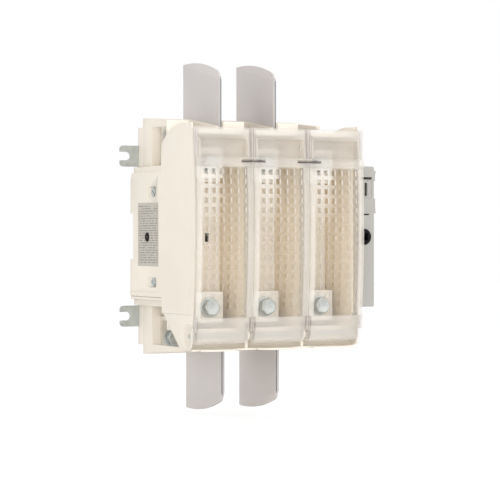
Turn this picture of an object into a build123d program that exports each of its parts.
from build123d import *
from math import cos, radians, sin, sqrt, tan
import os

# Three-pole fuse switch disconnector for a mounting plate.
# X runs to the right along the row of poles, -Y is the front, +Z is up.
# The origin is the middle of the rear mounting plane.

# Overall sizes
pole_count = 3
pitch = 66.0
mechanism_width = 48.0
depth = 164.0
body_half_height = 127.0
flange_half_height = 117.5
fit = 0.3
running_fit = 0.05

# Bowed front, shared by the side panels and the covers
bow_radius = 965.0
bow_centre_z = 10.0

# Levels above and below the middle
window_low_z = -83.9
ledge_low_z = 70.0
ledge_high_z = 81.0
cover_top_z = 111.3
arch_z = 116.0
seam_z = -80.5
step_one_z = 68.0
step_two_z = 74.5
link_z = 1.0
link_spacing = 150.0
shaft_z = -1.0

# Distances behind the foremost line of the front
cover_depth = 16.4
nose_depth = 17.0
deck_front = 74.0
deck_thickness = 3.0
cell_rear = 151.0
column_front = 128.8
panel_rear_edge = 84.0
shaft_setback = 120.4
tie_setback = 105.5
barrier_front = 77.3
mechanism_front = 58.0
mechanism_rear = 150.0
hinge_setback = 18.0
hinge_z = -102.5

# Walls and steps of the moulded body
panel_thickness = 3.2
nose_thickness = 3.0
partition_thickness = 5.0
chamber_wall = 4.5
step_one_inset = 5.0
step_two_inset = 10.0
rear_groove_depth = 7.0
rear_groove_half_height = 24.5
rear_rib_width = 16.0

# Covers
cover_wall = 2.4
cover_rim = 1.8
hood_proud = 4.0
lip_depth = 6.0
flange_low_z = -94.0
recess_depth = 10.0
recess_top_z = 99.8
ledge_proud = 1.4
louvre_columns = 6
louvre_rows = 15
louvre_pitch_x = 8.56
louvre_pitch_z = 9.8
louvre_width = 4.4
louvre_height = 5.6
louvre_middle_z = -2.9
catch_half_width = 13.5
catch_thickness = 1.4
catch_z = 76.6
catch_root = 25.0
pin_radius = 2.5
ear_radius = 6.5
trough_radius = 13.6
ear_length = 9.0
cap_radius = 12.75
cap_thickness = 1.5
opening_angle = 90.0

# Copper bars
bar_width = 26.0
bar_thickness = 4.0
plate_size = 32.0
plate_setback = 38.0
finger_thickness = 2.0
blade_thickness = 4.4
blade_width = 18.0
blade_reach = 28.0
blade_gap = 0.3
drum_radius = 17.0
drum_length = 44.0
shaft_radius = 5.0
closed_angle = 60.0

# Fasteners
m10_radius = 5.0
m10_head_flats = 16.0
m10_head_height = 6.4
m10_washer_radius = 10.5
m10_washer_thickness = 2.0
m5_radius = 2.5
m5_head_radius = 4.6
m5_nut_flats = 8.0
m5_nut_height = 4.0
tie_offset_z = 48.0
terminal_bolt_z = 109.0

# Phase barriers
barrier_thickness = 2.2
barrier_tip_z = 189.0
barrier_shoulder_z = 175.0
barrier_root_z = 108.0
barrier_bead_width = 3.6
barrier_bead_depth = 2.4
lower_barrier_shift = 6.3

# Mounting lugs
lug_thickness = 2.5
lug_height = 22.8
lug_z = 86.7
lug_reach = 12.1
lug_length = 42.0
lug_slot_width = 9.2
lug_slot_depth = 12.0
lug_corner_radius = 4.0
lug_screw_inset = 18.0

# Mechanism unit
mechanism_top_z = 76.0
mechanism_bottom_z = -77.5
mechanism_wall = 2.5
mechanism_cover_thickness = 4.0
hub_x_from_right = 13.3
hub_radius = 8.5
hub_ring_radius = 10.6
hub_socket = 8.0
spindle_radius = 4.0
bracket_setback = 84.0
bracket_thickness = 3.0
gear_teeth = 12
gear_pitch_radius = 9.0
gear_face_share = 0.72
tooth_half_angle = 5.2

# Side label
label_height = 67.5
label_low_z = -32.0
label_front = 92.0
label_depth = 51.3
label_thickness = 0.3
side_hole_radius = 5.5
field_front = 91.0
field_low_z = -59.8
field_depth = 0.8

# Values that follow
width = pole_count * pitch + mechanism_width
left_x = -width / 2
right_x = width / 2
poles_right_x = left_x + pole_count * pitch
pole_xs = [left_x + pitch * (k + 0.5) for k in range(pole_count)]
joint_xs = [left_x + pitch * (k + 1) for k in range(pole_count - 1)]
cover_half_width = (pitch - nose_thickness) / 2 - fit
hood_half_width = cover_half_width - cover_rim
lip_half_width = pitch / 2 - fit
panel_front_setback = lip_depth + fit + 0.2
opening_half_width = hood_half_width - cover_wall
plate_y_thickness = bar_thickness
upper_link_z = link_z + link_spacing / 2
lower_link_z = link_z - link_spacing / 2
hub_x = right_x - hub_x_from_right
inner_left_x = left_x + panel_thickness
inner_right_x = poles_right_x - panel_thickness


def behind(distance):
    return -depth + distance


def bow(z):
    return behind(bow_radius - sqrt(bow_radius**2 - (z - bow_centre_z) ** 2))


def bowed_face(low_z, high_z, setback=0.0):
    middle_z = (low_z + high_z) / 2
    return ThreePointArc(
        (bow(low_z) + setback, low_z),
        (bow(middle_z) + setback, middle_z),
        (bow(high_z) + setback, high_z),
    )


# A strip that follows the bowed front, seen from the side
def bowed_strip(low_z, high_z, front_setback, rear_setback):
    with BuildLine() as outline:
        front_arc = bowed_face(low_z, high_z, front_setback)
        rear_arc = bowed_face(low_z, high_z, rear_setback)
        Line(front_arc @ 1, rear_arc @ 1)
        Line(front_arc @ 0, rear_arc @ 0)
    return outline.line


# A block that stands behind the bowed front, seen from the side
def bowed_outline(low_z, high_z, rear_distance, setback=0.0):
    with BuildLine() as outline:
        face = bowed_face(low_z, high_z, setback)
        Polyline(
            face @ 1,
            (behind(rear_distance), high_z),
            (behind(rear_distance), low_z),
            face @ 0,
        )
    return outline.line


def save(piece, name):
    piece.part.label = name
    export_step(piece.part, f"parts/{name}.step")


os.makedirs("parts", exist_ok=True)

hinge_y = behind(hinge_setback)
shaft_y = behind(shaft_setback)
tie_zs = [shaft_z + tie_offset_z, shaft_z - tie_offset_z]
deck_rear = deck_front + deck_thickness
lug_zs = [lug_z, -lug_z]

# Side panels
# The front part of a panel is thin, so that a cover and its joint fit beside it.
panel_arch_low_z = arch_z - 20.0
tie_recess_length = 19.0
tie_recess_height = 10.8
tie_recess_depth = 2.0
for side, name in ((0, "left_side_panel"), (1, "right_side_panel")):
    outer_x = poles_right_x if side else left_x
    inward = -1 if side else 1
    with BuildPart() as side_panel:
        with BuildSketch(Plane.YZ.offset(outer_x)):
            with BuildLine():
                front_edge = bowed_face(seam_z, arch_z, panel_front_setback)
                crown = Line(front_edge @ 1, (behind(28.0), arch_z))
                shoulder = ThreePointArc(
                    crown @ 1,
                    (behind(68.0), arch_z - 8.0),
                    (behind(panel_rear_edge), panel_arch_low_z),
                )
                Polyline(
                    shoulder @ 1,
                    (behind(panel_rear_edge), step_one_z),
                    (behind(depth) - 4.0, step_one_z),
                    (behind(depth), step_one_z - 7.0),
                    (behind(depth), rear_groove_half_height),
                    (behind(depth) - rear_groove_depth, rear_groove_half_height),
                    (behind(depth) - rear_groove_depth, -rear_groove_half_height),
                    (behind(depth), -rear_groove_half_height),
                    (behind(depth), -step_one_z + 7.0),
                    (behind(depth) - 4.0, -step_one_z),
                    (behind(panel_rear_edge), -step_one_z),
                    (behind(panel_rear_edge), seam_z),
                    front_edge @ 0,
                )
            make_face()
        extrude(amount=inward * panel_thickness)
        # Step on the inner side where the cover lies
        with BuildSketch(Plane.YZ.offset(outer_x + inward * nose_thickness / 2)):
            with BuildLine():
                add(bowed_outline(seam_z - 1.0, arch_z + 1.0, nose_depth, -2.0))
            make_face()
        extrude(amount=inward * panel_thickness, mode=Mode.SUBTRACT)
        # Holes for the tie rods, sunk for the heads on the left
        for tie_z in tie_zs:
            with BuildSketch(Plane.YZ.offset(outer_x)):
                with Locations((behind(tie_setback), tie_z)):
                    Circle(m5_radius + 0.25)
            extrude(amount=inward * panel_thickness, mode=Mode.SUBTRACT)
            if side == 0:
                with BuildSketch(Plane.YZ.offset(outer_x)):
                    with Locations((behind(tie_setback + 2.0), tie_z)):
                        Rectangle(tie_recess_length, tie_recess_height)
                extrude(amount=tie_recess_depth, mode=Mode.SUBTRACT)
        # Field at the rear, a little lower, with two grooves below it
        with BuildSketch(Plane.YZ.offset(outer_x)):
            with Locations((behind((field_front + depth) / 2), (field_low_z + step_one_z) / 2)):
                Rectangle(depth - field_front, step_one_z - field_low_z)
            with Locations((behind((panel_rear_edge + depth) / 2), field_low_z - 5.0)):
                Rectangle(depth - panel_rear_edge, 0.9)
        extrude(amount=inward * field_depth, mode=Mode.SUBTRACT)
        # Opening over the end of the cross shaft
        with BuildSketch(Plane.YZ.offset(outer_x)):
            with Locations((shaft_y, shaft_z)):
                Circle(side_hole_radius)
        extrude(amount=inward * panel_thickness, mode=Mode.SUBTRACT)
    save(side_panel, name)

# Blank side label, in the colour of the printed field
with BuildPart() as rating_label:
    with BuildSketch(Plane.YZ.offset(left_x + field_depth - label_thickness)):
        with Locations((behind(label_front + label_depth / 2), label_low_z + label_height / 2)):
            RectangleRounded(label_depth, label_height, 0.6)
        with Locations((shaft_y, shaft_z)):
            Circle(side_hole_radius + 0.2, mode=Mode.SUBTRACT)
    extrude(amount=label_thickness)
save(rating_label, "side_label")

# Switch base
# The rear wall of the body, stepped at its sides, with a groove across the middle.
beam_thickness = 4.0
lower_beam_front = 46.0
beam_low_z = flange_half_height - 0.5
barrier_slot = barrier_thickness + 0.4
rib_thickness = 8.0
nut_pocket_depth = 8.0
cell_width = 54.0
cell_front = deck_rear + bar_thickness + 1.0
poles_width = pole_count * pitch
base_levels = (
    (step_one_z, panel_thickness),
    (step_two_z, step_one_inset),
    (flange_half_height, step_two_inset),
)

# Slots that hold the barriers, cut from every moulding behind them
with BuildPart() as barrier_slots:
    for end, slot_front in ((1, barrier_front), (-1, barrier_front - lower_barrier_shift)):
        for rib_x in joint_xs:
            with BuildSketch(Plane.YZ.offset(rib_x - barrier_slot / 2)):
                with Locations((behind(slot_front + 120.0), end * (barrier_root_z - fit + 60.0))):
                    Rectangle(240.6, 120.0)
            extrude(amount=barrier_slot)
            with BuildSketch(Plane.YZ.offset(rib_x - barrier_bead_width / 2 - 0.2)):
                with Locations(
                    (behind(slot_front + barrier_bead_depth / 2), end * (barrier_root_z - fit + 60.0))
                ):
                    Rectangle(barrier_bead_depth + 0.6, 120.0)
            extrude(amount=barrier_bead_width + 0.4)

# Channels of the copper bars behind the line terminals
with BuildPart() as bar_channels:
    for pole_x in pole_xs:
        with BuildSketch(Plane.XY.offset(step_two_z - chamber_wall - 1.0)):
            with Locations((pole_x, behind(cell_rear - 2.0 - bar_thickness / 2))):
                Rectangle(bar_width + 0.4, bar_thickness + 0.2)
        extrude(amount=chamber_wall + 2.0)
        with BuildSketch(Plane.XZ.offset(-behind(column_front))):
            with Locations((pole_x, step_two_z + 5.0)):
                Rectangle(bar_width + 0.4, bar_thickness + 0.2)
        extrude(amount=-(cell_rear - 2.0 - column_front))
        with BuildSketch(Plane.XY.offset(step_two_z - 1.0)):
            with Locations((pole_x, behind(cell_rear - 2.0 - bar_thickness / 2))):
                Rectangle(bar_width + 0.4, bar_thickness + 0.2)
        extrude(amount=6.0 + bar_thickness / 2 + 0.1)

with BuildPart() as switch_base:
    for half_height, inset in base_levels:
        with BuildSketch(Plane.XZ.offset(-behind(cell_rear))):
            with Locations(((left_x + poles_right_x) / 2, 0)):
                Rectangle(poles_width - 2 * inset, 2 * half_height)
        extrude(amount=-(depth - cell_rear))
    add(barrier_slots.part, mode=Mode.SUBTRACT)
    # Groove across the middle of the rear face
    with BuildSketch(Plane.YZ.offset(left_x)):
        with Locations((behind(depth) - rear_groove_depth / 2, 0)):
            Rectangle(rear_groove_depth, 2 * rear_groove_half_height)
        for end in (1, -1):
            with BuildLine():
                Polyline(
                    (behind(depth) - 4.0, end * step_one_z),
                    (behind(depth), end * (step_one_z - 7.0)),
                    (behind(depth), end * step_one_z),
                    close=True,
                )
            make_face()
    extrude(amount=panel_thickness + 0.2, mode=Mode.SUBTRACT)
    with BuildSketch(Plane.YZ.offset(left_x)):
        with Locations((behind(depth) - rear_groove_depth / 2, 0)):
            Rectangle(rear_groove_depth, 2 * rear_groove_half_height)
    extrude(amount=poles_width, mode=Mode.SUBTRACT)
    # Rib that keeps the rear plane at the middle of the groove
    with BuildSketch(Plane.XZ):
        Rectangle(rear_rib_width, 2 * rear_groove_half_height)
    extrude(amount=rear_groove_depth)
    # Coring pockets in the rear face
    with BuildSketch(Plane.XZ):
        for pole_x in pole_xs:
            with Locations((pole_x, 0)):
                with GridLocations(24.0, 2 * 46.0, 2, 2):
                    RectangleRounded(19.0, 30.0, 2.0)
                with Locations((0, flange_half_height - 14.5), (0, -flange_half_height + 14.5)):
                    RectangleRounded(22.0, 14.0, 2.0)
    extrude(amount=6.0, mode=Mode.SUBTRACT)
    # Pockets that take the mounting lugs
    for lug_level in lug_zs:
        for pocket_x in (left_x + step_two_inset, poles_right_x - step_two_inset):
            toward = 1 if pocket_x < 0 else -1
            pocket_depth = lug_length - lug_reach - step_two_inset + 0.2
            with BuildSketch(Plane.XZ):
                with Locations((pocket_x + toward * pocket_depth / 2, lug_level)):
                    Rectangle(pocket_depth, lug_height + 0.4)
            extrude(amount=lug_thickness, mode=Mode.SUBTRACT)
            with BuildSketch(Plane.XZ):
                with Locations((pocket_x + toward * (lug_screw_inset - step_two_inset), lug_level)):
                    Circle(m5_radius)
            extrude(amount=11.5, mode=Mode.SUBTRACT)
save(switch_base, "switch_base")

# Walls round the switch cells, bored for the cross shaft bushes and the tie rods
with BuildPart() as cell_walls:
    with BuildSketch(Plane.XZ.offset(-behind(cell_front))):
        with Locations(((left_x + poles_right_x) / 2, 0)):
            Rectangle(poles_width - 2 * panel_thickness, 2 * step_one_z)
            Rectangle(poles_width - 2 * step_one_inset, 2 * step_two_z)
        with Locations(*[(x, 0) for x in pole_xs]):
            Rectangle(cell_width, 2 * (step_two_z - chamber_wall), mode=Mode.SUBTRACT)
    extrude(amount=-(cell_rear - cell_front))
    add(bar_channels.part, mode=Mode.SUBTRACT)
    with BuildSketch(Plane.YZ.offset(left_x)):
        with Locations((shaft_y, shaft_z)):
            Circle(shaft_radius + 3.0)
        with Locations(*[(behind(tie_setback), z) for z in tie_zs]):
            Circle(m5_radius + 0.25)
    extrude(amount=poles_width, mode=Mode.SUBTRACT)
save(cell_walls, "switch_cell_walls")

# Terminal blocks: a column across the poles, ribs that carry the barriers and end beams
for end, level, beam_front in ((1, "upper", deck_rear), (-1, "lower", lower_beam_front)):
    with BuildPart() as terminal_block:
        with BuildSketch(Plane.YZ.offset(left_x + step_two_inset)):
            with BuildLine():
                Polyline(
                    (behind(column_front), end * step_two_z),
                    (behind(column_front), end * (body_half_height - 2.0)),
                    (behind(column_front + 12.0), end * body_half_height),
                    (behind(cell_rear), end * body_half_height),
                    (behind(cell_rear), end * step_two_z),
                    close=True,
                )
            make_face()
        extrude(amount=poles_width - 2 * step_two_inset)
        for rib_x in joint_xs:
            with BuildSketch(Plane.YZ.offset(rib_x - rib_thickness / 2)):
                with BuildLine():
                    Polyline(
                        (behind(deck_rear), end * step_two_z),
                        (behind(deck_rear), end * beam_low_z),
                        (behind(column_front + 12.0), end * body_half_height),
                        (behind(column_front + 12.0), end * step_two_z),
                        close=True,
                    )
                make_face()
            extrude(amount=rib_thickness)
        for beam_x in (left_x + step_two_inset, poles_right_x - step_two_inset - beam_thickness):
            with BuildSketch(Plane.YZ.offset(beam_x)):
                with BuildLine():
                    Polyline(
                        (behind(beam_front), end * (beam_low_z - 1.0)),
                        (behind(beam_front), end * (beam_low_z + 2.4)),
                        (behind(column_front), end * (body_half_height - 2.0)),
                        (behind(column_front + 12.0), end * body_half_height),
                        (behind(column_front + 12.0), end * (beam_low_z - 1.0)),
                        close=True,
                    )
                make_face()
            extrude(amount=beam_thickness)
        add(barrier_slots.part, mode=Mode.SUBTRACT)
        if end > 0:
            add(bar_channels.part, mode=Mode.SUBTRACT)
        # Nut pockets behind the terminal pads, reached through the bolt holes
        with BuildSketch(Plane.XZ.offset(-behind(column_front))):
            with Locations(*[(x, end * terminal_bolt_z) for x in pole_xs]):
                RegularPolygon(m10_head_flats / 2 + 0.2, 6, major_radius=False)
        extrude(amount=-nut_pocket_depth - 8.0, mode=Mode.SUBTRACT)
    save(terminal_block, f"{level}_terminal_block")

# Fuse deck
# Floor and roof of the fuse bays, with a pad under every contact plate.
pad_top = plate_setback + plate_y_thickness
deck_top_z = 108.0
deck_roof_z = 105.0
deck_low_z = -96.0
deck_tab_top_z = 121.5
strip_gap = 0.15
upper_strip_z = upper_link_z - plate_size / 2 - bar_thickness / 2
lower_strip_z = lower_link_z - plate_size / 2 + bar_thickness / 2
port_x = left_x + 48.0
port_z = -1.5
with BuildPart() as fuse_deck:
    with BuildSketch(Plane.XZ.offset(-behind(deck_front))):
        with Locations(((left_x + poles_right_x) / 2, (deck_top_z + deck_low_z) / 2)):
            Rectangle(poles_width - 2 * panel_thickness, deck_top_z - deck_low_z)
        # Tabs above the roof, one at the left of each pole
        with Locations(*[(x - 0.275 * pitch, (deck_roof_z + deck_tab_top_z) / 2) for x in pole_xs]):
            Rectangle(25.0, deck_tab_top_z - deck_roof_z)
    extrude(amount=-deck_thickness)
    with BuildSketch(Plane.YZ.offset(inner_left_x)):
        with BuildLine():
            Polyline(
                (behind(nose_depth), deck_roof_z),
                (behind(nose_depth), deck_top_z),
                (behind(nose_depth + 4.0), deck_top_z + 1.5),
                (behind(deck_rear), deck_top_z + 3.0),
                (behind(deck_rear), deck_roof_z),
                close=True,
            )
        make_face()
    extrude(amount=poles_width - 2 * panel_thickness)
    with BuildSketch(Plane.XZ.offset(-behind(pad_top))):
        for pole_x in pole_xs:
            with Locations((pole_x, upper_link_z), (pole_x, lower_link_z)):
                Rectangle(plate_size + 4.0, plate_size)
    extrude(amount=-(deck_front - pad_top))
    # Framed port in the floor of the first bay
    with BuildSketch(Plane.XZ.offset(-behind(deck_front))):
        with Locations((port_x, port_z)):
            Rectangle(8.6, 13.0)
    extrude(amount=1.6)
    with BuildSketch(Plane.XZ.offset(-behind(deck_front - 1.6))):
        with Locations((port_x, port_z)):
            Rectangle(5.2, 9.4)
    extrude(amount=-(deck_thickness + 1.6), mode=Mode.SUBTRACT)
    # Bolt wells in the pads
    with BuildSketch(Plane.XZ.offset(-behind(pad_top))):
        for pole_x in pole_xs:
            with Locations((pole_x, upper_link_z), (pole_x, lower_link_z)):
                Circle(m10_radius)
    extrude(amount=-10.5, mode=Mode.SUBTRACT)
    # Passages for the bars
    with BuildSketch(Plane.XZ.offset(-behind(pad_top - 1.0))):
        for pole_x in pole_xs:
            with Locations((pole_x, upper_strip_z), (pole_x, lower_strip_z)):
                Rectangle(bar_width + 2 * strip_gap, bar_thickness + 2 * strip_gap)
    extrude(amount=-(deck_rear - pad_top + 2.0), mode=Mode.SUBTRACT)
save(fuse_deck, "fuse_deck")

# Walls of the fuse bays, between the poles and inside the side panels
bay_wall_spans = [(x - partition_thickness / 2, partition_thickness) for x in joint_xs]
bay_wall_spans += [(x, chamber_wall / 2) for x in (inner_left_x, inner_right_x - chamber_wall / 2)]
with BuildPart() as bay_walls:
    for wall_x, wall_thickness in bay_wall_spans:
        with BuildSketch(Plane.YZ.offset(wall_x)):
            with Locations((behind((nose_depth + deck_front) / 2), (deck_roof_z + deck_low_z) / 2)):
                Rectangle(deck_front - nose_depth, deck_roof_z - deck_low_z)
            # Clearance for the feet of the covers
            with Locations((hinge_y, hinge_z)):
                Circle(trough_radius, mode=Mode.SUBTRACT)
        extrude(amount=wall_thickness)
    # Slots that hold the cover catches
    with BuildSketch(Plane.XZ.offset(-behind(nose_depth - 1.0))):
        with Locations(*[(x, catch_z) for x in joint_xs]):
            Rectangle(4 * nose_thickness, catch_thickness)
    extrude(amount=-(catch_root - nose_depth + 1.0), mode=Mode.SUBTRACT)
save(bay_walls, "bay_walls")

# Hinge carrier
# Cheeks under the side panels, troughs behind the covers and lugs for the hinge pin.
trough_wall = 2.0
carrier_top_z = deck_low_z
belly_half_width = 22.0
cheek_rear_top = 80.0
cheek_rear_low = 39.4
cheek_low_z = -116.0
shelf_thickness = 2.4
pin_lug_radius = 5.5
with BuildPart() as hinge_carrier:
    # Trough that follows the swing of the cover foot
    with BuildSketch(Plane.YZ.offset(left_x + panel_thickness)):
        with BuildLine():
            rear_in = Line(
                (behind(deck_front + deck_thickness), carrier_top_z),
                (hinge_y + trough_radius, carrier_top_z),
            )
            back_in = Line(rear_in @ 1, (hinge_y + trough_radius, hinge_z))
            sweep_in = ThreePointArc(
                back_in @ 1,
                (hinge_y + trough_radius * cos(radians(45)), hinge_z - trough_radius * sin(radians(45))),
                (hinge_y, hinge_z - trough_radius),
            )
            outer_radius = trough_radius + trough_wall
            drop = Line(sweep_in @ 1, (hinge_y, hinge_z - outer_radius))
            sweep_out = ThreePointArc(
                drop @ 1,
                (hinge_y + outer_radius * cos(radians(45)), hinge_z - outer_radius * sin(radians(45))),
                (hinge_y + outer_radius, hinge_z),
            )
            Polyline(
                sweep_out @ 1,
                (hinge_y + outer_radius, carrier_top_z - shelf_thickness),
                (behind(deck_front + deck_thickness), carrier_top_z - shelf_thickness),
                rear_in @ 0,
            )
        make_face()
    extrude(amount=pole_count * pitch - 2 * panel_thickness)
    # Lip of each trough, arched at its sides
    for pole_x in pole_xs:
        with BuildSketch(Plane.XY.offset(hinge_z - trough_radius - trough_wall)):
            with BuildLine():
                lip_left_x = pole_x - belly_half_width
                lip_left = Line((lip_left_x, hinge_y), (lip_left_x, hinge_y - 5.0))
                lip_front = ThreePointArc(
                    lip_left @ 1,
                    (pole_x, hinge_y - hinge_setback + 5.0),
                    (pole_x + belly_half_width, hinge_y - 5.0),
                )
                Polyline(lip_front @ 1, (pole_x + belly_half_width, hinge_y), lip_left @ 0)
            make_face()
        extrude(amount=trough_wall - 0.2)
    # Walls between the poles, with the nose that carries the pin
    for wall_x in joint_xs:
        with BuildSketch(Plane.YZ.offset(wall_x - partition_thickness / 2)):
            with BuildLine():
                Polyline(
                    (hinge_y + trough_radius, carrier_top_z),
                    (behind(deck_rear), carrier_top_z),
                    (behind(cheek_rear_low), cheek_low_z),
                    (hinge_y + trough_radius, cheek_low_z),
                    close=True,
                )
            make_face()
        extrude(amount=partition_thickness)
        with BuildSketch(Plane.YZ.offset(wall_x - nose_thickness / 2)):
            with Locations((hinge_y, hinge_z)):
                Circle(pin_lug_radius)
            with BuildLine():
                Polyline(
                    (hinge_y, hinge_z + pin_lug_radius),
                    (hinge_y + trough_radius + 1.0, hinge_z + pin_lug_radius),
                    (hinge_y + trough_radius + 1.0, cheek_low_z),
                    (hinge_y, cheek_low_z),
                    close=True,
                )
            make_face()
        extrude(amount=nose_thickness)
    # Cheeks under the side panels
    for cheek_x, toward in ((left_x, 1), (poles_right_x, -1)):
        with BuildSketch(Plane.YZ.offset(cheek_x)):
            with BuildLine():
                cheek_face = bowed_face(cheek_low_z + 10.0, seam_z - 0.15, panel_front_setback)
                Polyline(
                    cheek_face @ 1,
                    (behind(cheek_rear_top), seam_z - 0.15),
                    (behind(cheek_rear_low), cheek_low_z),
                    (hinge_y, cheek_low_z),
                )
                ThreePointArc(
                    (hinge_y, cheek_low_z),
                    (hinge_y - 3.2, cheek_low_z + 3.4),
                    cheek_face @ 0,
                )
            make_face()
        extrude(amount=toward * panel_thickness)
        with BuildSketch(Plane.YZ.offset(cheek_x + toward * nose_thickness / 2)):
            with Locations((behind(nose_depth - 10.0), hinge_z)):
                Rectangle(20.0, 60.0)
            with Locations((hinge_y, hinge_z)):
                Circle(trough_radius)
        extrude(amount=toward * panel_thickness, mode=Mode.SUBTRACT)
    # Bore for the hinge pin
    with BuildSketch(Plane.YZ.offset(left_x)):
        with Locations((hinge_y, hinge_z)):
            Circle(pin_radius)
    extrude(amount=pole_count * pitch, mode=Mode.SUBTRACT)
save(hinge_carrier, "hinge_carrier")

with BuildPart() as hinge_pin:
    with BuildSketch(Plane.YZ.offset(left_x)):
        with Locations((hinge_y, hinge_z)):
            Circle(pin_radius)
    extrude(amount=pole_count * pitch)
save(hinge_pin, "hinge_pin")

# Clear caps over the ends of the hinge pin
with BuildPart() as pin_caps:
    for cap_x, outward in ((left_x, -1), (poles_right_x, 1)):
        with BuildSketch(Plane.YZ.offset(cap_x)):
            with Locations((hinge_y, hinge_z)):
                Circle(cap_radius)
        extrude(amount=outward * cap_thickness)
        rim_plane = Plane.YZ.offset(cap_x + outward * cap_thickness)
        with BuildSketch(rim_plane):
            with Locations((hinge_y, hinge_z)):
                Circle(cap_radius)
                Circle(cap_radius - 2.0, mode=Mode.SUBTRACT)
        extrude(amount=outward * 0.6)
save(pin_caps, "hinge_pin_caps")

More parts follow.
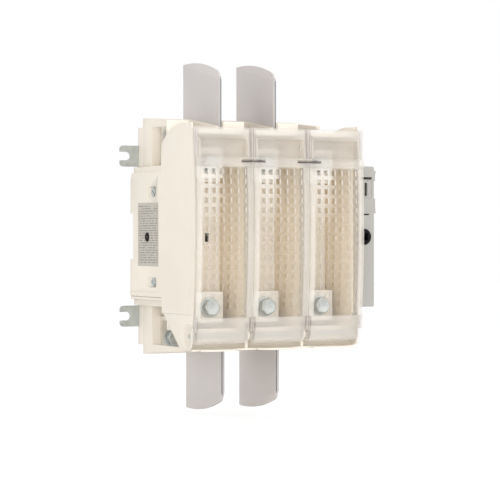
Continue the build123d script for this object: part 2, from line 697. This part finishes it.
# Fuse covers
# A clear shell with a finger recess, a ledge, a louvred window and two hinge ears.
foot_z = hinge_z - 8.0
for index, pole_x in enumerate(pole_xs, start=1):
    with BuildPart() as cover:
        # Window block between its two rims
        with BuildSketch(Plane.YZ.offset(pole_x - cover_half_width)):
            with BuildLine():
                add(bowed_outline(window_low_z, ledge_high_z, cover_depth))
            make_face()
        extrude(amount=2 * cover_half_width)
        # Hoods above and below, narrower than the window
        with BuildSketch(Plane.YZ.offset(pole_x - hood_half_width)):
            with BuildLine():
                hood_face = bowed_face(foot_z, cover_top_z)
                Polyline(
                    hood_face @ 1,
                    (behind(cover_depth), cover_top_z),
                    (behind(cover_depth), foot_z),
                    hood_face @ 0,
                )
            make_face()
        extrude(amount=2 * hood_half_width)
        fillet(cover.edges().filter_by(Axis.X).group_by(Axis.Z)[0].sort_by(Axis.Y)[0], 5.0)
        fillet(cover.edges().filter_by(Axis.X).group_by(Axis.Z)[-1].sort_by(Axis.Y)[0], 1.5)
        # Lips over the edges of the side panels, a step back beside the hoods
        for lip_low, lip_high, lip_front in (
            (window_low_z, ledge_high_z, 0.0),
            (flange_low_z, cover_top_z - 1.0, hood_proud),
        ):
            with BuildSketch(Plane.YZ.offset(pole_x - lip_half_width)):
                with BuildLine():
                    add(bowed_strip(lip_low, lip_high, lip_front, lip_depth))
                make_face()
            extrude(amount=2 * lip_half_width)
        # Ledge that stands proud below the recess
        with BuildSketch(Plane.YZ.offset(pole_x - lip_half_width)):
            with BuildLine():
                add(bowed_strip(ledge_low_z + 1.2, ledge_high_z - 1.2, -ledge_proud, cover_wall))
            make_face()
        extrude(amount=2 * lip_half_width)
        # Hollow inside
        with BuildSketch(Plane.YZ.offset(pole_x - hood_half_width)):
            with BuildLine():
                window_floor_z = window_low_z + cover_wall
                window_roof_z = ledge_high_z - cover_wall
                add(bowed_outline(window_floor_z, window_roof_z, cover_depth + 1.0, cover_wall))
            make_face()
        extrude(amount=2 * hood_half_width, mode=Mode.SUBTRACT)
        with BuildSketch(Plane.YZ.offset(pole_x - opening_half_width)):
            with BuildLine():
                hollow_low_z = foot_z + cover_wall
                hollow_high_z = cover_top_z - cover_wall
                add(bowed_outline(hollow_low_z, hollow_high_z, cover_depth + 1.0, cover_wall))
            make_face()
        extrude(amount=2 * opening_half_width, mode=Mode.SUBTRACT)
        # Finger recess: floor and roof of the pocket, then its mouth
        with BuildSketch(Plane.YZ.offset(pole_x - opening_half_width)):
            with BuildLine():
                Polyline(
                    (bow(ledge_high_z), ledge_high_z - cover_wall),
                    (behind(cover_depth), ledge_high_z - cover_wall),
                    (behind(cover_depth), recess_top_z + cover_wall),
                    (bow(recess_top_z), recess_top_z + cover_wall),
                    close=True,
                )
            make_face()
        extrude(amount=2 * opening_half_width)
        with BuildSketch(Plane.YZ.offset(pole_x - opening_half_width)):
            with BuildLine():
                recess_low = Line(
                    (behind(-2.0), ledge_high_z),
                    (behind(recess_depth + 2.0), ledge_high_z),
                )
                recess_back = ThreePointArc(
                    recess_low @ 1,
                    (behind(recess_depth + 3.6), (ledge_high_z + recess_top_z) / 2 + 2.0),
                    (behind(recess_depth), recess_top_z),
                )
                Polyline(recess_back @ 1, (behind(-2.0), recess_top_z), recess_low @ 0)
            make_face()
        extrude(amount=2 * opening_half_width, mode=Mode.SUBTRACT)
        # Louvres
        with BuildSketch(Plane.XZ.offset(-behind(-4.0))):
            with Locations((pole_x, louvre_middle_z)):
                with GridLocations(louvre_pitch_x, louvre_pitch_z, louvre_columns, louvre_rows):
                    Rectangle(louvre_width, louvre_height)
        extrude(amount=-12.0, mode=Mode.SUBTRACT)
        # Slots for the catches toward the neighbouring covers
        for hand in ((1,), (-1, 1), (-1,))[index - 1]:
            slot_inner = pitch / 2 - catch_half_width - 0.5
            with BuildSketch(Plane.XZ.offset(-behind(-4.0))):
                with Locations((pole_x + hand * (slot_inner + 10.0), catch_z + 0.35)):
                    Rectangle(20.0, catch_thickness + 1.5)
            extrude(amount=-(cover_depth + 5.0), mode=Mode.SUBTRACT)
        # Hinge ears
        for hand in (-1, 1):
            ear_plane = Plane.YZ.offset(pole_x + hand * (hood_half_width - cover_wall))
            with BuildSketch(ear_plane):
                with BuildLine():
                    ear_top = (behind(cover_depth), hinge_z + 13.0)
                    tangent_y = hinge_y + ear_radius
                    Polyline(
                        (hinge_y - ear_radius, hinge_z),
                        (hinge_y - ear_radius, hinge_z + 13.0),
                        ear_top,
                        (tangent_y, hinge_z),
                    )
                    ThreePointArc(
                        (tangent_y, hinge_z),
                        (hinge_y, hinge_z - ear_radius),
                        (hinge_y - ear_radius, hinge_z),
                    )
                make_face()
            extrude(amount=hand * cover_wall)
            with BuildSketch(ear_plane):
                with Locations((hinge_y, hinge_z)):
                    Circle(ear_radius)
            extrude(amount=hand * (cover_half_width - hood_half_width + cover_wall))
            with BuildSketch(ear_plane):
                with Locations((hinge_y, hinge_z)):
                    Circle(ear_radius - 1.2)
            extrude(amount=-hand * ear_length)
        with BuildSketch(Plane.YZ.offset(pole_x - cover_half_width)):
            with Locations((hinge_y, hinge_z)):
                Circle(pin_radius + running_fit)
        extrude(amount=2 * cover_half_width, mode=Mode.SUBTRACT)
    save(cover, f"fuse_cover_{index}")

# Cover catches in the walls between the poles
with BuildPart() as cover_catches:
    for wall_x in joint_xs:
        catch_front = bow(catch_z) - ledge_proud + 0.3
        with BuildSketch(Plane.XY.offset(catch_z - catch_thickness / 2)):
            with Locations((wall_x, catch_front + 2.6)):
                RectangleRounded(2 * catch_half_width, 5.2, 0.8)
            with Locations((wall_x, (catch_front + behind(catch_root)) / 2)):
                Rectangle(nose_thickness, behind(catch_root) - catch_front)
        extrude(amount=catch_thickness)
save(cover_catches, "cover_catches")

# Phase barriers
bead_top_z = barrier_shoulder_z - 8.0
barrier_levels = ((1, "upper", 0.0), (-1, "lower", lower_barrier_shift))
for end, level, shift in barrier_levels:
    front_edge_at = barrier_front - shift
    rear_edge_at = depth - shift
    for index, barrier_x in enumerate(joint_xs, start=1):
        with BuildPart() as barrier:
            with BuildSketch(Plane.YZ.offset(barrier_x - barrier_thickness / 2)):
                with BuildLine():
                    barrier_root = Line(
                        (behind(front_edge_at), end * barrier_root_z),
                        (behind(rear_edge_at), end * barrier_root_z),
                    )
                    barrier_back = Line(
                        barrier_root @ 1, (behind(rear_edge_at), end * (barrier_tip_z - 1.0))
                    )
                    barrier_crown = ThreePointArc(
                        barrier_back @ 1,
                        (behind((front_edge_at + rear_edge_at) / 2 - 8.0), end * (barrier_tip_z - 4.2)),
                        (behind(front_edge_at + 6.0), end * (barrier_shoulder_z + 1.2)),
                    )
                    barrier_corner = ThreePointArc(
                        barrier_crown @ 1,
                        (behind(front_edge_at + 1.6), end * (barrier_shoulder_z - 2.4)),
                        (behind(front_edge_at), end * bead_top_z),
                    )
                    Line(barrier_corner @ 1, barrier_root @ 0)
                make_face()
            extrude(amount=barrier_thickness)
            with BuildSketch(Plane.YZ.offset(barrier_x - barrier_bead_width / 2)):
                with Locations(
                    (behind(front_edge_at + barrier_bead_depth / 2), end * (barrier_root_z + bead_top_z) / 2)
                ):
                    Rectangle(barrier_bead_depth, bead_top_z - barrier_root_z)
            extrude(amount=barrier_bead_width)
        save(barrier, f"{level}_phase_barrier_{index}")

# Mounting lugs, each a blanked steel plate with an open slot
for lug_level, level in ((lug_z, "upper"), (-lug_z, "lower")):
    for outer_x, outward, hand in ((left_x, -1, "left"), (poles_right_x, 1, "right")):
        tip_x = outer_x + outward * lug_reach
        with BuildPart() as lug:
            with BuildSketch(Plane.XZ):
                with Locations((tip_x - outward * lug_length / 2, lug_level)):
                    RectangleRounded(lug_length, lug_height, lug_corner_radius)
                with Locations((tip_x - outward * (lug_slot_depth - lug_slot_width / 2), lug_level)):
                    Circle(lug_slot_width / 2, mode=Mode.SUBTRACT)
                with Locations((tip_x - outward * (lug_slot_depth - lug_slot_width / 2) / 2, lug_level)):
                    Rectangle(
                        lug_slot_depth - lug_slot_width / 2, lug_slot_width, mode=Mode.SUBTRACT
                    )
                with Locations((outer_x - outward * lug_screw_inset, lug_level)):
                    Circle(m5_radius + 0.25, mode=Mode.SUBTRACT)
            extrude(amount=lug_thickness)
        save(lug, f"{level}_{hand}_mounting_lug")

with BuildPart() as lug_screws:
    for outer_x, outward in ((left_x, -1), (poles_right_x, 1)):
        for lug_level in lug_zs:
            with BuildSketch(Plane.XZ.offset(lug_thickness - 1.4)):
                with Locations((outer_x - outward * lug_screw_inset, lug_level)):
                    Circle(m5_radius)
            extrude(amount=10.0)
save(lug_screws, "lug_screws")

# Copper bars
# Line bar: terminal tab, run to the rear, drop into the cell, contact fingers.
tab_front = column_front - bar_thickness
tab_top_z = 124.0
rear_run_z = step_two_z + 5.0
drop_setback = cell_rear - 2.0 - bar_thickness
finger_low_z = shaft_z + 17.0
finger_high_z = finger_low_z + 20.0
finger_front = shaft_setback + 7.6
finger_inner = blade_thickness / 2 + blade_gap
for index, pole_x in enumerate(pole_xs, start=1):
    with BuildPart() as line_bar:
        with BuildSketch(Plane.YZ.offset(pole_x - bar_width / 2)):
            with BuildLine():
                Polyline(
                    (behind(tab_front), rear_run_z - bar_thickness / 2),
                    (behind(tab_front), tab_top_z),
                    (behind(column_front), tab_top_z),
                    (behind(column_front), rear_run_z + bar_thickness / 2),
                    (behind(drop_setback + bar_thickness), rear_run_z + bar_thickness / 2),
                    (behind(drop_setback + bar_thickness), finger_high_z - 6.0),
                    (behind(drop_setback), finger_high_z - 6.0),
                    (behind(drop_setback), rear_run_z - bar_thickness / 2),
                    close=True,
                )
            make_face()
        extrude(amount=bar_width)
        for hand in (-1, 1):
            with BuildSketch(Plane.YZ.offset(pole_x + hand * finger_inner)):
                with Locations(
                    (
                        behind((finger_front + drop_setback + bar_thickness) / 2),
                        (finger_low_z + finger_high_z) / 2,
                    )
                ):
                    Rectangle(drop_setback + bar_thickness - finger_front, finger_high_z - finger_low_z)
            extrude(amount=hand * finger_thickness)
        with BuildSketch(Plane.XZ.offset(-behind(tab_front))):
            with Locations((pole_x, terminal_bolt_z)):
                Circle(m10_radius + 0.5)
        extrude(amount=-bar_thickness, mode=Mode.SUBTRACT)
    save(line_bar, f"line_bar_{index}")

# Fuse bar: front contact plate, run through the deck, rise along it, contact fingers
mirror_low_z = 2 * shaft_z - finger_high_z
mirror_high_z = 2 * shaft_z - finger_low_z
mirror_rear = 2 * shaft_setback - finger_front
mirror_front = 2 * shaft_setback - drop_setback - bar_thickness
strip_front = deck_rear
for index, pole_x in enumerate(pole_xs, start=1):
    with BuildPart() as fuse_bar:
        with BuildSketch(Plane.XZ.offset(-behind(plate_setback))):
            with Locations((pole_x, upper_link_z)):
                RectangleRounded(plate_size, plate_size, 1.5)
        extrude(amount=-bar_thickness)
        with BuildSketch(Plane.YZ.offset(pole_x - bar_width / 2)):
            with BuildLine():
                Polyline(
                    (behind(plate_setback), upper_strip_z - bar_thickness / 2),
                    (behind(plate_setback), upper_link_z - plate_size / 2 + 1.0),
                    (behind(plate_setback + bar_thickness), upper_link_z - plate_size / 2 + 1.0),
                    (behind(plate_setback + bar_thickness), upper_strip_z + bar_thickness / 2),
                    (behind(strip_front + bar_thickness), upper_strip_z + bar_thickness / 2),
                    (behind(strip_front + bar_thickness), mirror_low_z + bar_thickness),
                    (behind(mirror_front + bar_thickness), mirror_low_z + bar_thickness),
                    (behind(mirror_front + bar_thickness), mirror_low_z),
                    (behind(strip_front), mirror_low_z),
                    (behind(strip_front), upper_strip_z - bar_thickness / 2),
                    close=True,
                )
            make_face()
        extrude(amount=bar_width)
        for hand in (-1, 1):
            with BuildSketch(Plane.YZ.offset(pole_x + hand * finger_inner)):
                with Locations(
                    (behind((mirror_front + mirror_rear) / 2), (mirror_low_z + mirror_high_z) / 2)
                ):
                    Rectangle(mirror_rear - mirror_front, mirror_high_z - mirror_low_z)
            extrude(amount=hand * finger_thickness)
        with BuildSketch(Plane.XZ.offset(-behind(plate_setback))):
            with Locations((pole_x, upper_link_z)):
                Circle(m10_radius + 0.5)
        extrude(amount=-bar_thickness, mode=Mode.SUBTRACT)
    save(fuse_bar, f"fuse_bar_{index}")

# Load bar: front contact plate, run through the deck, terminal tab
for index, pole_x in enumerate(pole_xs, start=1):
    with BuildPart() as load_bar:
        with BuildSketch(Plane.XZ.offset(-behind(plate_setback))):
            with Locations((pole_x, lower_link_z)):
                RectangleRounded(plate_size, plate_size, 1.5)
        extrude(amount=-bar_thickness)
        with BuildSketch(Plane.YZ.offset(pole_x - bar_width / 2)):
            with BuildLine():
                Polyline(
                    (behind(plate_setback + 1.0), lower_strip_z - bar_thickness / 2),
                    (behind(plate_setback + 1.0), lower_strip_z + bar_thickness / 2),
                    (behind(column_front), lower_strip_z + bar_thickness / 2),
                    (behind(column_front), -tab_top_z),
                    (behind(tab_front), -tab_top_z),
                    (behind(tab_front), lower_strip_z - bar_thickness / 2),
                    close=True,
                )
            make_face()
        extrude(amount=bar_width)
        with BuildSketch(Plane.XZ.offset(-behind(plate_setback))):
            with Locations((pole_x, lower_link_z)):
                Circle(m10_radius + 0.5)
        extrude(amount=-bar_thickness, mode=Mode.SUBTRACT)
        with BuildSketch(Plane.XZ.offset(-behind(tab_front))):
            with Locations((pole_x, -terminal_bolt_z)):
                Circle(m10_radius + 0.5)
        extrude(amount=-bar_thickness, mode=Mode.SUBTRACT)
    save(load_bar, f"load_bar_{index}")

# Cross shaft from the left panel to its bevel gear
gear_inner_radius = gear_pitch_radius * gear_face_share
gear_hub_length = 4.0
shaft_left_x = inner_left_x + 1.0
shaft_right_x = hub_x - gear_pitch_radius - gear_hub_length
stub_radius = 3.0
with BuildPart() as cross_shaft:
    with BuildSketch(Plane.YZ.offset(shaft_left_x)):
        with Locations((shaft_y, shaft_z)):
            Circle(shaft_radius)
    extrude(amount=shaft_right_x - shaft_left_x)
    with BuildSketch(Plane.YZ.offset(shaft_right_x)):
        with Locations((shaft_y, shaft_z)):
            Circle(stub_radius)
    extrude(amount=gear_hub_length + 0.5)
    # Square socket in the left end
    with BuildSketch(Plane.YZ.offset(shaft_left_x)):
        with Locations((shaft_y, shaft_z)):
            Rectangle(5.0, 5.0)
    extrude(amount=8.0, mode=Mode.SUBTRACT)
save(cross_shaft, "cross_shaft")

# Bushes in the walls of the base
end_bush_length = 5.0
pole_wall = pitch - cell_width
bush_xs = [inner_left_x] + [x - pole_wall / 2 for x in joint_xs] + [inner_right_x - end_bush_length]
bush_lengths = [end_bush_length, pole_wall, pole_wall, end_bush_length]
with BuildPart() as shaft_bushes:
    for bush_x, bush_length in zip(bush_xs, bush_lengths):
        with BuildSketch(Plane.YZ.offset(bush_x)):
            with Locations((shaft_y, shaft_z)):
                Circle(shaft_radius + 3.0)
                Circle(shaft_radius + running_fit, mode=Mode.SUBTRACT)
        extrude(amount=bush_length)
save(shaft_bushes, "shaft_bushes")

# Rotors and their blades, drawn with the switch open
open_angle = closed_angle + 90.0
blade_plane_turn = open_angle
for index, pole_x in enumerate(pole_xs, start=1):
    with BuildPart() as rotor:
        with BuildSketch(Plane.YZ.offset(pole_x - drum_length / 2)):
            with Locations((shaft_y, shaft_z)):
                Circle(drum_radius)
                Circle(shaft_radius + running_fit, mode=Mode.SUBTRACT)
        extrude(amount=drum_length)
        with BuildSketch(Plane.YZ.offset(pole_x - blade_thickness / 2 - 0.05)):
            with Locations((shaft_y, shaft_z)):
                Rectangle(3 * drum_radius, blade_width + 0.1, rotation=blade_plane_turn)
        extrude(amount=blade_thickness + 0.1, mode=Mode.SUBTRACT)
    save(rotor, f"rotor_{index}")
    with BuildPart() as blade:
        with BuildSketch(Plane.YZ.offset(pole_x - blade_thickness / 2)):
            with Locations((shaft_y, shaft_z)):
                SlotOverall(2 * blade_reach, blade_width, rotation=blade_plane_turn)
                Circle(shaft_radius + running_fit, mode=Mode.SUBTRACT)
        extrude(amount=blade_thickness)
    save(blade, f"moving_blade_{index}")

# Arc splitter plates above and below each rotor, seated in the cell walls
splitter_angles = (98.0, 110.0, 122.0)
splitter_inner = 19.0
splitter_outer = 36.0
splitter_thickness = 1.2
splitter_width = cell_width - 0.2
splitter_notch = blade_thickness + 2.0
with BuildPart() as splitter_plates:
    for pole_x in pole_xs:
        for angle in splitter_angles + tuple(a + 180.0 for a in splitter_angles):
            along = Vector(0, cos(radians(angle)), sin(radians(angle)))
            across = Vector(0, -sin(radians(angle)), cos(radians(angle)))
            middle = Vector(pole_x, shaft_y, shaft_z) + across * (-splitter_thickness / 2)
            with BuildSketch(Plane(origin=middle, x_dir=(1, 0, 0), z_dir=across)):
                flip = 1 if Plane(origin=middle, x_dir=(1, 0, 0), z_dir=across).y_dir.dot(along) > 0 else -1
                with Locations((0, flip * (splitter_inner + splitter_outer) / 2)):
                    Rectangle(splitter_width, splitter_outer - splitter_inner)
                with Locations((0, flip * (splitter_inner + blade_reach + 2.0) / 2)):
                    Rectangle(
                        splitter_notch, blade_reach + 2.0 - splitter_inner + 0.2, mode=Mode.SUBTRACT
                    )
            extrude(amount=splitter_thickness)
save(splitter_plates, "arc_splitter_plates")

# Bolts of the fuse contacts
with BuildPart() as fuse_bolts:
    for pole_x in pole_xs:
        for bolt_z in (upper_link_z, lower_link_z):
            with BuildSketch(Plane.XZ.offset(-behind(plate_setback - m10_washer_thickness))):
                with Locations((pole_x, bolt_z)):
                    RegularPolygon(m10_head_flats / 2, 6, major_radius=False)
            extrude(amount=m10_head_height)
            with BuildSketch(Plane.XZ.offset(-behind(plate_setback - m10_washer_thickness))):
                with Locations((pole_x, bolt_z)):
                    Circle(m10_radius)
            extrude(amount=-(m10_washer_thickness + bar_thickness + 10.0))
save(fuse_bolts, "fuse_bolts")

with BuildPart() as fuse_washers:
    for pole_x in pole_xs:
        for bolt_z in (upper_link_z, lower_link_z):
            with BuildSketch(Plane.XZ.offset(-behind(plate_setback))):
                with Locations((pole_x, bolt_z)):
                    Circle(m10_washer_radius)
                    Circle(m10_radius + 0.25, mode=Mode.SUBTRACT)
            extrude(amount=m10_washer_thickness)
save(fuse_washers, "fuse_washers")

# Bolts, washers and nuts of the terminals
terminal_points = [(x, z) for x in pole_xs for z in (terminal_bolt_z, -terminal_bolt_z)]
with BuildPart() as terminal_bolts:
    with BuildSketch(Plane.XZ.offset(-behind(tab_front - m10_washer_thickness))):
        with Locations(*terminal_points):
            RegularPolygon(m10_head_flats / 2, 6, major_radius=False)
    extrude(amount=m10_head_height)
    with BuildSketch(Plane.XZ.offset(-behind(tab_front - m10_washer_thickness))):
        with Locations(*terminal_points):
            Circle(m10_radius)
    extrude(amount=-(m10_washer_thickness + bar_thickness + 12.0))
save(terminal_bolts, "terminal_bolts")

with BuildPart() as terminal_washers:
    with BuildSketch(Plane.XZ.offset(-behind(tab_front))):
        with Locations(*terminal_points):
            Circle(m10_washer_radius)
            Circle(m10_radius + 0.25, mode=Mode.SUBTRACT)
    extrude(amount=m10_washer_thickness)
save(terminal_washers, "terminal_washers")

with BuildPart() as terminal_nuts:
    with BuildSketch(Plane.XZ.offset(-behind(column_front))):
        with Locations(*terminal_points):
            RegularPolygon(m10_head_flats / 2, 6, major_radius=False)
            Circle(m10_radius + running_fit, mode=Mode.SUBTRACT)
    extrude(amount=-nut_pocket_depth)
save(terminal_nuts, "terminal_nuts")

# Tie rods across the poles, with a slotted head at the left and a nut at the right
tie_head_x = left_x + tie_recess_depth
tie_head_thickness = 1.6
with BuildPart() as tie_rods:
    for tie_z in tie_zs:
        with BuildSketch(Plane.YZ.offset(tie_head_x)):
            with Locations((behind(tie_setback), tie_z)):
                Circle(m5_head_radius)
        extrude(amount=-tie_head_thickness)
        with BuildSketch(Plane.YZ.offset(tie_head_x)):
            with Locations((behind(tie_setback), tie_z)):
                Circle(m5_radius)
        extrude(amount=poles_right_x + m5_nut_height + 1.0 - tie_head_x)
        with BuildSketch(Plane.YZ.offset(tie_head_x - tie_head_thickness)):
            with Locations((behind(tie_setback), tie_z)):
                Rectangle(2 * m5_head_radius, 1.3, rotation=35.0)
        extrude(amount=0.9, mode=Mode.SUBTRACT)
save(tie_rods, "tie_rods")

with BuildPart() as tie_rod_nuts:
    with BuildSketch(Plane.YZ.offset(poles_right_x)):
        with Locations(*[(behind(tie_setback), z) for z in tie_zs]):
            RegularPolygon(m5_nut_flats / 2, 6, major_radius=False)
            Circle(m5_radius + running_fit, mode=Mode.SUBTRACT)
    extrude(amount=m5_nut_height)
save(tie_rod_nuts, "tie_rod_nuts")

# Mechanism housing, open at the front
mechanism_height = mechanism_top_z - mechanism_bottom_z
mechanism_middle_z = (mechanism_top_z + mechanism_bottom_z) / 2
mechanism_middle_x = (poles_right_x + right_x) / 2
housing_front = mechanism_front + mechanism_cover_thickness
with BuildPart() as mechanism_housing:
    with BuildSketch(Plane.XZ.offset(-behind(housing_front))):
        with Locations((mechanism_middle_x, mechanism_middle_z)):
            RectangleRounded(mechanism_width, mechanism_height, 1.5)
    extrude(amount=-(mechanism_rear - housing_front))
    with BuildSketch(Plane.XZ.offset(-behind(housing_front))):
        with Locations((mechanism_middle_x, mechanism_middle_z)):
            Rectangle(mechanism_width - 2 * mechanism_wall, mechanism_height - 2 * mechanism_wall)
    extrude(amount=-(mechanism_rear - housing_front - mechanism_wall), mode=Mode.SUBTRACT)
    # Openings in the wall beside the poles
    with BuildSketch(Plane.YZ.offset(poles_right_x)):
        with Locations((shaft_y, shaft_z)):
            Circle(shaft_radius + 1.0)
        with Locations(*[(behind(tie_setback), z) for z in tie_zs]):
            Circle(m5_nut_flats / 2 + 1.6)
    extrude(amount=mechanism_wall, mode=Mode.SUBTRACT)
save(mechanism_housing, "mechanism_housing")

# Mechanism cover with its slots and a ring round the drive hub
cover_screw_points = [
    (mechanism_middle_x, mechanism_top_z - 7.0),
    (mechanism_middle_x, mechanism_bottom_z + 7.0),
]
with BuildPart() as mechanism_cover:
    with BuildSketch(Plane.XZ.offset(-behind(mechanism_front))):
        with Locations((mechanism_middle_x, mechanism_middle_z)):
            RectangleRounded(mechanism_width, mechanism_height, 1.5)
    extrude(amount=-mechanism_cover_thickness)
    fillet(mechanism_cover.faces().sort_by(Axis.Y)[0].outer_wire().edges(), 0.8)
    with BuildSketch(Plane.XZ.offset(-behind(mechanism_front))):
        with Locations((hub_x, shaft_z)):
            Circle(hub_ring_radius + 0.8)
    extrude(amount=0.8)
    with BuildSketch(Plane.XZ.offset(-behind(mechanism_front - 0.8))):
        with Locations((hub_x, shaft_z)):
            Circle(hub_radius + fit)
        with Locations((right_x - 13.0, 63.0)):
            Rectangle(20.0, 2.6)
        with Locations((right_x - 10.4, 50.9)):
            Rectangle(3.4, 14.2)
        with Locations((right_x - 10.0, 23.5)):
            Rectangle(7.0, 1.6)
        with Locations(*cover_screw_points):
            Circle(m5_radius - 0.8)
    extrude(amount=-(mechanism_cover_thickness + 0.8), mode=Mode.SUBTRACT)
    # Shallow field round the vertical slot
    with BuildSketch(Plane.XZ.offset(-behind(mechanism_front))):
        with Locations((right_x - 10.0, 51.0)):
            Rectangle(14.0, 20.0)
            Rectangle(6.0, 16.4, mode=Mode.SUBTRACT)
    extrude(amount=-0.6, mode=Mode.SUBTRACT)
save(mechanism_cover, "mechanism_cover")

with BuildPart() as mechanism_screws:
    with BuildSketch(Plane.XZ.offset(-behind(mechanism_front))):
        with Locations(*cover_screw_points):
            Circle(3.2)
    extrude(amount=1.6)
    with BuildSketch(Plane.XZ.offset(-behind(mechanism_front))):
        with Locations(*cover_screw_points):
            Circle(m5_radius - 0.85)
    extrude(amount=-mechanism_cover_thickness)
    with BuildSketch(Plane.XZ.offset(-behind(mechanism_front - 1.6))):
        with Locations(*cover_screw_points):
            Rectangle(4.2, 0.9)
            Rectangle(0.9, 4.2)
    extrude(amount=-1.0, mode=Mode.SUBTRACT)
save(mechanism_screws, "mechanism_screws")

# Clip block on the right side of the mechanism unit
with BuildPart() as side_clip_block:
    with BuildSketch(Plane.YZ.offset(right_x)):
        with Locations((behind(mechanism_front + 22.0), 46.5)):
            RectangleRounded(34.0, 55.0, 1.0)
    extrude(amount=1.2)
    with BuildSketch(Plane.YZ.offset(right_x)):
        with Locations((behind(mechanism_front + 14.0), 69.0)):
            Rectangle(18.0, 4.4)
        with Locations((behind(mechanism_front + 20.0), 33.0)):
            Rectangle(30.0, 15.0)
    extrude(amount=3.4)
    with BuildSketch(Plane.YZ.offset(right_x)):
        with Locations((behind(mechanism_front + 14.0), 65.6)):
            Rectangle(18.0, 9.0)
    extrude(amount=2.6)
save(side_clip_block, "side_clip_block")

# Spindle bracket across the housing
with BuildPart() as spindle_bracket:
    with BuildSketch(Plane.XZ.offset(-behind(bracket_setback))):
        with Locations((mechanism_middle_x, shaft_z)):
            Rectangle(mechanism_width - 2 * mechanism_wall, 44.0)
        with Locations((hub_x, shaft_z)):
            Circle(spindle_radius + running_fit, mode=Mode.SUBTRACT)
        with Locations(*[(mechanism_middle_x - 10.0, shaft_z + z) for z in (14.0, -14.0)]):
            Circle(3.0, mode=Mode.SUBTRACT)
    extrude(amount=-bracket_thickness)
save(spindle_bracket, "spindle_bracket")

# Drive hub with its spindle
hub_front = mechanism_front - 2.0
hub_rear = housing_front + 2.0
hub_gear_front = shaft_setback - gear_pitch_radius - gear_hub_length
with BuildPart() as drive_hub:
    with BuildSketch(Plane.XZ.offset(-behind(hub_front))):
        with Locations((hub_x, shaft_z)):
            Circle(hub_radius)
    extrude(amount=-(hub_rear - hub_front))
    fillet(drive_hub.faces().sort_by(Axis.Y)[0].edges(), 0.8)
    with BuildSketch(Plane.XZ.offset(-behind(hub_rear))):
        with Locations((hub_x, shaft_z)):
            Circle(spindle_radius)
    extrude(amount=-(hub_gear_front + gear_hub_length - hub_rear))
    with BuildSketch(Plane.XZ.offset(-behind(hub_front))):
        with Locations((hub_x, shaft_z)):
            Rectangle(hub_socket, hub_socket)
    extrude(amount=-6.0, mode=Mode.SUBTRACT)
    # Pointer mark across the rim
    with BuildSketch(Plane.XZ.offset(-behind(hub_front))):
        with Locations((hub_x, shaft_z - hub_radius + 1.4)):
            Rectangle(1.2, 2.2)
    extrude(amount=-0.5, mode=Mode.SUBTRACT)
save(drive_hub, "drive_hub")

# Bevel gears
# Both gears share one apex, where the spindle and the cross shaft meet.
apex = Vector(hub_x, shaft_y, shaft_z)
tip_radius = gear_pitch_radius * tan(radians(50.0))
root_radius = gear_pitch_radius * tan(radians(37.0))


def tooth_outline(reach):
    scale = reach / gear_pitch_radius
    corners = []
    for radius, widening in ((root_radius * 0.9, 1.3), (tip_radius, 0.6)):
        half_width = gear_pitch_radius * sin(radians(tooth_half_angle)) * widening
        corners.append((radius * scale, half_width * scale))
    (inner_r, inner_w), (outer_r, outer_w) = corners
    return [(inner_r, -inner_w), (outer_r, -outer_w), (outer_r, outer_w), (inner_r, inner_w)]


def gear_plane(axis_direction, mesh_direction, reach, turn=0.0):
    toward = Vector(*axis_direction)
    across = Vector(*mesh_direction).rotate(Axis((0, 0, 0), axis_direction), turn)
    return Plane(origin=apex + toward * reach, x_dir=across, z_dir=toward)


def bevel_gear(axis_direction, mesh_direction, bore_radius, phase):
    near = gear_plane(axis_direction, mesh_direction, gear_inner_radius)
    far = gear_plane(axis_direction, mesh_direction, gear_pitch_radius)
    with BuildPart() as gear:
        with BuildSketch(near):
            Circle(root_radius * gear_face_share)
        with BuildSketch(far):
            Circle(root_radius)
        loft()
        with BuildSketch(far):
            Circle(root_radius)
        extrude(amount=gear_hub_length)
        for tooth in range(gear_teeth):
            turn = 360.0 / gear_teeth * (tooth + phase)
            with BuildSketch(gear_plane(axis_direction, mesh_direction, gear_inner_radius, turn)):
                with BuildLine():
                    Polyline(*tooth_outline(gear_inner_radius), close=True)
                make_face()
            with BuildSketch(gear_plane(axis_direction, mesh_direction, gear_pitch_radius, turn)):
                with BuildLine():
                    Polyline(*tooth_outline(gear_pitch_radius), close=True)
                make_face()
            loft()
        with BuildSketch(near):
            Circle(bore_radius)
        extrude(amount=gear_pitch_radius, mode=Mode.SUBTRACT)
    return gear


shaft_bevel_gear = bevel_gear((-1, 0, 0), (0, -1, 0), stub_radius + 0.02, 0.0)
save(shaft_bevel_gear, "shaft_bevel_gear")
hub_bevel_gear = bevel_gear((0, -1, 0), (-1, 0, 0), spindle_radius + 0.02, 0.5)
save(hub_bevel_gear, "hub_bevel_gear")

# Snap spring round the spindle, between the hub and the bracket
spring_wire = 0.8
spring_radius = 6.6
spring_start = hub_rear + spring_wire + fit
spring_length = bracket_setback - hub_rear - 2 * spring_wire - 2 * fit
spring_turns = 5
spring_base = (hub_x, behind(spring_start), shaft_z)
with BuildPart() as snap_spring:
    with BuildLine() as coil:
        Helix(spring_length / spring_turns, spring_length, spring_radius, spring_base, (0, 1, 0))
    with BuildSketch(Plane(origin=coil.line @ 0, z_dir=coil.line % 0)):
        Circle(spring_wire)
    sweep()
save(snap_spring, "snap_spring")
